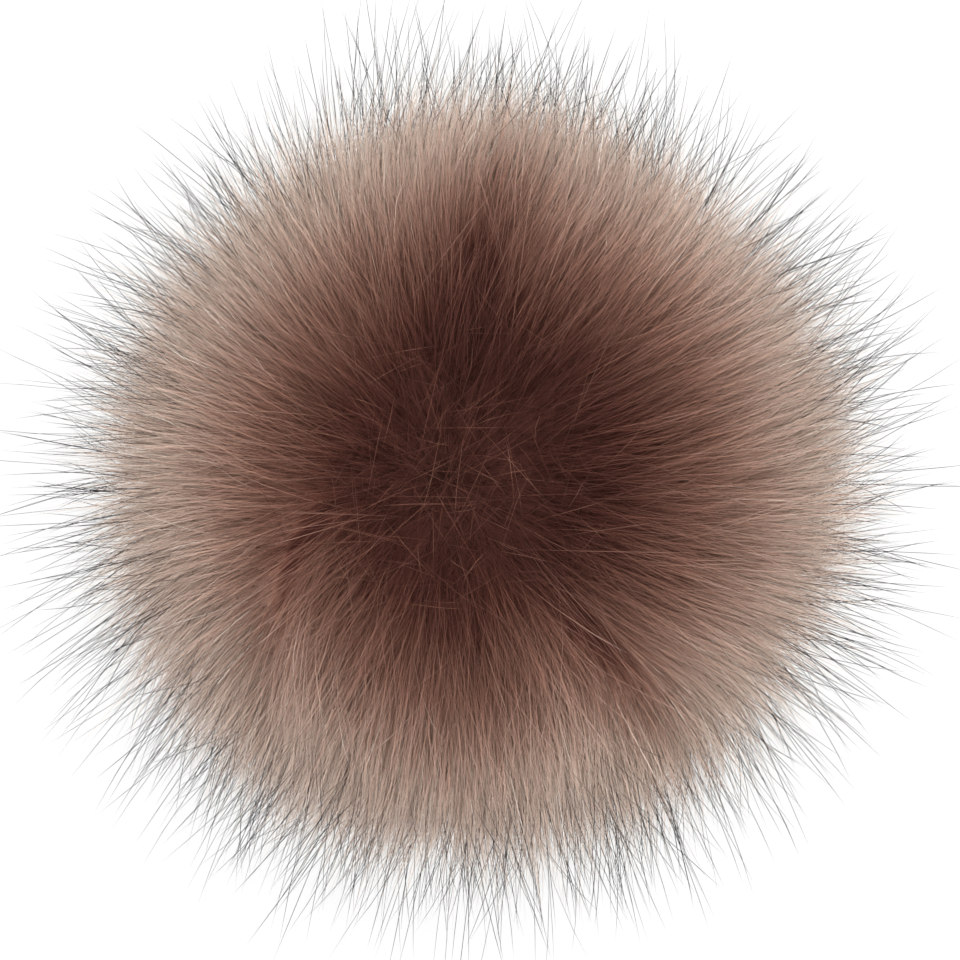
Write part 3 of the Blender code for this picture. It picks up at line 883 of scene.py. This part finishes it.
# These sizes are in mm too.
WIRE_RADIUS = 0.25
WIRE_HEIGHT = 2.0
WIRE_GAP = 0.3  # to the stud's neck and to the socket disc's wall
WIRE_END = 0.06  # a corner of the wire's cut end reaches this much past its middle
WIRE_RELIEF = 0.008
LEG_END = -5.2  # the lower end of both inner legs, along Y
# The springs are bent a little differently. side is 1 or -1, splay is how far the outer limb leans out,
# and foot_end is the angle in degrees that the foot turns to. The levels are along Y.
Bends = namedtuple("Bends", "side hook_round hook_level splay foot_round foot_level foot_end")
SPRING_BENDS = {
    "spring_a": Bends(1, 1.8, 2.0, 0.05, 1.0, -4.5, 295),
    "spring_b": Bends(-1, 1.6, 3.0, 0.85, 1.1, -3.3, 310),
}
THREAD_RADIUS = 0.12
THREAD_CORNER = 0.25
THREAD_LAY = 0.8
THREAD_RELIEF = 0.03
STITCHES_IN_A_SLOT = (-0.85, -0.3, 0.3, 0.85)  # from the slot's middle, square to the radius
STITCH_LEAN = 0.048  # how far a stitch leans aside for each mm outwards, as a spread
# A stitch as (radius, height): out of the undercoat, through the slot, under the rim and back up.
STITCH = (
    (6.6, 7.6), (7.5, 4.9), (7.75, 3.75), (8.1, 3.5), (10.1, 3.5), (10.72, 3.95), (10.78, 4.9), (9.6, 7.6),
)
STEEL = [(0.35, linear(150, 146, 143)), (0.5, linear(206, 202, 199)), (0.7, linear(224, 221, 218))]
BROWN = [(0.1, linear(34, 19, 16)), (0.5, linear(62, 38, 31)), (0.9, linear(96, 64, 54))]


def spring_route(bends):
    """The middle line of one wire spring."""
    leg = NECK_RADIUS + WIRE_GAP + WIRE_RADIUS
    foot_middle = leg + 2 * bends.hook_round + bends.splay + bends.foot_round
    hook = bent(leg + bends.hook_round, bends.hook_level, bends.hook_round, 180, 0, 22)
    foot = bent(foot_middle, bends.foot_level, bends.foot_round, 180, bends.foot_end, 20)
    last = Vector(foot[-1])
    heading = (last - Vector(foot[-2])).normalized()
    wall_reach = DISC_RADIUS - SHEET - WIRE_GAP - WIRE_RADIUS - WIRE_END
    outward = last.dot(heading)
    end = last + heading * (math.sqrt(outward**2 + wall_reach**2 - last.length_squared) - outward)
    # The last point of the bend lies on the straight run to the end, so it isn't a corner.
    flat = [(leg, LEG_END), *hook, *foot[:-1], tuple(end)]
    return [(bends.side * x, y, WIRE_HEIGHT) for x, y in flat]


def stitch_routes():
    """The middle line of every stitch."""
    rng = np.random.default_rng(61)
    routes = []
    for slot in range(SLOTS):
        out = np.array([math.cos(slot * math.tau / SLOTS), math.sin(slot * math.tau / SLOTS)])
        along = np.array([-out[1], out[0]])
        for aside in STITCHES_IN_A_SLOT:
            lean = rng.normal(0, STITCH_LEAN)
            spots = [out * radius + along * (aside + lean * (radius - SLOT_PITCH)) for radius, _ in STITCH]
            routes.append([(*spot, height) for spot, (_, height) in zip(spots, STITCH)])
    return routes


def line_mesh(name, routes):
    """A mesh of the routes' points and the edges between them."""
    points, edges = [], []
    for route in routes:
        edges += [(len(points) + k, len(points) + k + 1) for k in range(len(route) - 1)]
        points += [tuple(value * MM for value in point) for point in route]
    mesh = bpy.data.meshes.new(name)
    mesh.from_pydata(points, edges, [])
    return mesh


def make_wire_tree():
    """A tree that lays round wire or thread along routes, its corners rounded and its ends closed."""
    sizes = {"Wire Radius": 0.25 * MM, "Sides": 12, "Corner Radius": 0.2 * MM, "Corner Count": 3}
    tree, given, m = new_tree("wire_on_routes", "Routes", {**sizes, "Lay Length": 1.0 * MM}, "Wire")
    line = add_node(tree, "GeometryNodeMeshToCurve", {"Mesh": given["Routes"]}).outputs["Curve"]
    inputs = {"Curve": line, "Radius": given["Corner Radius"], "Count": given["Corner Count"]}
    inputs["Limit Radius"] = True
    eased = add_node(tree, "GeometryNodeFilletCurve", inputs, mode="POLY").outputs["Curve"]
    run = add_node(tree, "GeometryNodeSplineParameter").outputs["Length"]
    laid = m.store(eased, "lay", "FLOAT", m.number("DIVIDE", run, given["Lay Length"]))
    inputs = {"Resolution": given["Sides"], "Radius": given["Wire Radius"]}
    profile = add_node(tree, "GeometryNodeCurvePrimitiveCircle", inputs).outputs["Curve"]
    share = add_node(tree, "GeometryNodeSplineParameter").outputs["Factor"]
    ringed = m.store(profile, "round", "FLOAT", share)
    inputs = {"Curve": laid, "Profile Curve": ringed, "Fill Caps": True}
    swept = add_node(tree, "GeometryNodeCurveToMesh", inputs).outputs["Mesh"]
    return finished(tree, given, swept, "Wire")


def drawn_wire():
    """Bright drawn spring wire: die lines along it, worn a little dull in patches."""
    finish, tree, shader = principled("drawn_spring_wire", roughness=0.2, metallic=1.0)
    die_lines = noise(tree, layer(tree, "round"), 24, dimensions="1D")
    patches = noise(tree, place_on_piece(tree), 900, detail=3)
    tree.links.new(ramp(tree, STEEL, patches), shader.inputs["Base Color"])
    rough = Maths(tree).mapped(patches, 0.35, 0.65, 0.32, 0.14)
    tree.links.new(rough, shader.inputs["Roughness"])
    bump(tree, shader, die_lines, WIRE_RELIEF * MM)
    return finish


def twisted_thread():
    """Dark brown sewing thread of two twisted plies, a little fuzzy."""
    finish, tree, shader = principled("twisted_thread", roughness=0.75, specular=0.2)
    m = Maths(tree)
    twist = m.number("MULTIPLY_ADD", layer(tree, "round"), 2, layer(tree, "lay"))
    plies = m.number("SINE", m.number("MULTIPLY", twist, math.tau))
    fuzz = noise(tree, place_on_piece(tree), 6000)
    strand = m.number("MULTIPLY_ADD", fuzz, 0.6, m.number("MULTIPLY_ADD", plies, 0.35, 0.2))
    tree.links.new(ramp(tree, BROWN, strand), shader.inputs["Base Color"])
    bump(tree, shader, strand, THREAD_RELIEF * MM)
    shader.inputs["Sheen Weight"].default_value = 0.3
    return finish


wire_tree = make_wire_tree()
spring_finish = drawn_wire()
for name, bends in SPRING_BENDS.items():
    wire = creased_piece(
        name + "_wire",
        line_mesh(name + "_wire", [spring_route(bends)]),
        wire_tree,
        {"Wire Radius": WIRE_RADIUS * MM, "Sides": 16, "Finish": spring_finish},
    )
    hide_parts(name)
thread = {"Wire Radius": THREAD_RADIUS * MM, "Sides": 8, "Corner Radius": THREAD_CORNER * MM}
thread.update({"Lay Length": THREAD_LAY * MM, "Finish": twisted_thread()})
creased_piece("stitches", line_mesh("stitches", stitch_routes()), wire_tree, thread)


# ---- Photo table, light and camera ----------------------------------------------------------------
# A white table and wide soft lights. The camera looks straight down on the crown, as in the photo.

TABLE_HALF = 1.5  # metres
TABLE_GREY, TABLE_GLOW = 0.2, 0.66
SKY_LOW, SKY_HIGH = 1.2, 2.3  # the strength of the light at the level of the table, and overhead
SOFTBOX_WAY = Vector((0.2, 0.45, 0.85)).normalized()
SOFTBOX = 1.6  # what the soft box adds to it at its middle
SOFTBOX_EDGE = (0.6, 0.95)  # cosines of the angles from its middle that it fades between
PICTURE_WIDTH = 131.9 * MM  # of the picture, at the widest level of the ball
CAMERA_RISE = 0.9  # above the widest level
SENSOR = 36

bm = bmesh.new()
bmesh.ops.create_grid(bm, x_segments=8, y_segments=8, size=TABLE_HALF)
mesh = bpy.data.meshes.new("table")
bm.to_mesh(mesh)
bm.free()
table = bpy.data.objects.new("table", mesh)
bpy.context.scene.collection.objects.link(table)
finish, tree, shader = principled("white_table", roughness=0.9, specular=0.0)
shader.inputs["Base Color"].default_value = (TABLE_GREY, TABLE_GREY, TABLE_GREY, 1)
shader.inputs["Emission Color"].default_value = (1, 1, 1, 1)
shader.inputs["Emission Strength"].default_value = TABLE_GLOW
finish.cycles.emission_sampling = "NONE"
mesh.materials.append(finish)

world = bpy.data.worlds.new("studio")
world.use_nodes = True
sky = world.node_tree
m = Maths(sky)
towards = add_node(sky, "ShaderNodeTexCoord").outputs["Generated"]
dome = m.mapped(m.split(towards)[2], 0, 1, SKY_LOW, SKY_HIGH)
box = m.mapped(m.vector("DOT_PRODUCT", towards, SOFTBOX_WAY), *SOFTBOX_EDGE, 0, SOFTBOX)
sky.links.new(m.number("ADD", dome, box), sky.nodes["Background"].inputs["Strength"])
sky.nodes["Background"].inputs["Color"].default_value = (1, 1, 1, 1)
world.cycles.sampling_method = "NONE"
bpy.context.scene.world = world
bpy.context.scene.view_settings.view_transform = "Standard"
bpy.context.scene.cycles.max_bounces = 3
bpy.context.scene.cycles.diffuse_bounces = 2
bpy.context.scene.cycles.glossy_bounces = 2

lens = bpy.data.cameras.new("camera")
lens.sensor_width = SENSOR
lens.lens = SENSOR * CAMERA_RISE / PICTURE_WIDTH
camera = bpy.data.objects.new("camera", lens)
camera.location = (0, 0, HEART[2] + CAMERA_RISE)
bpy.context.scene.collection.objects.link(camera)
bpy.context.scene.camera = camera
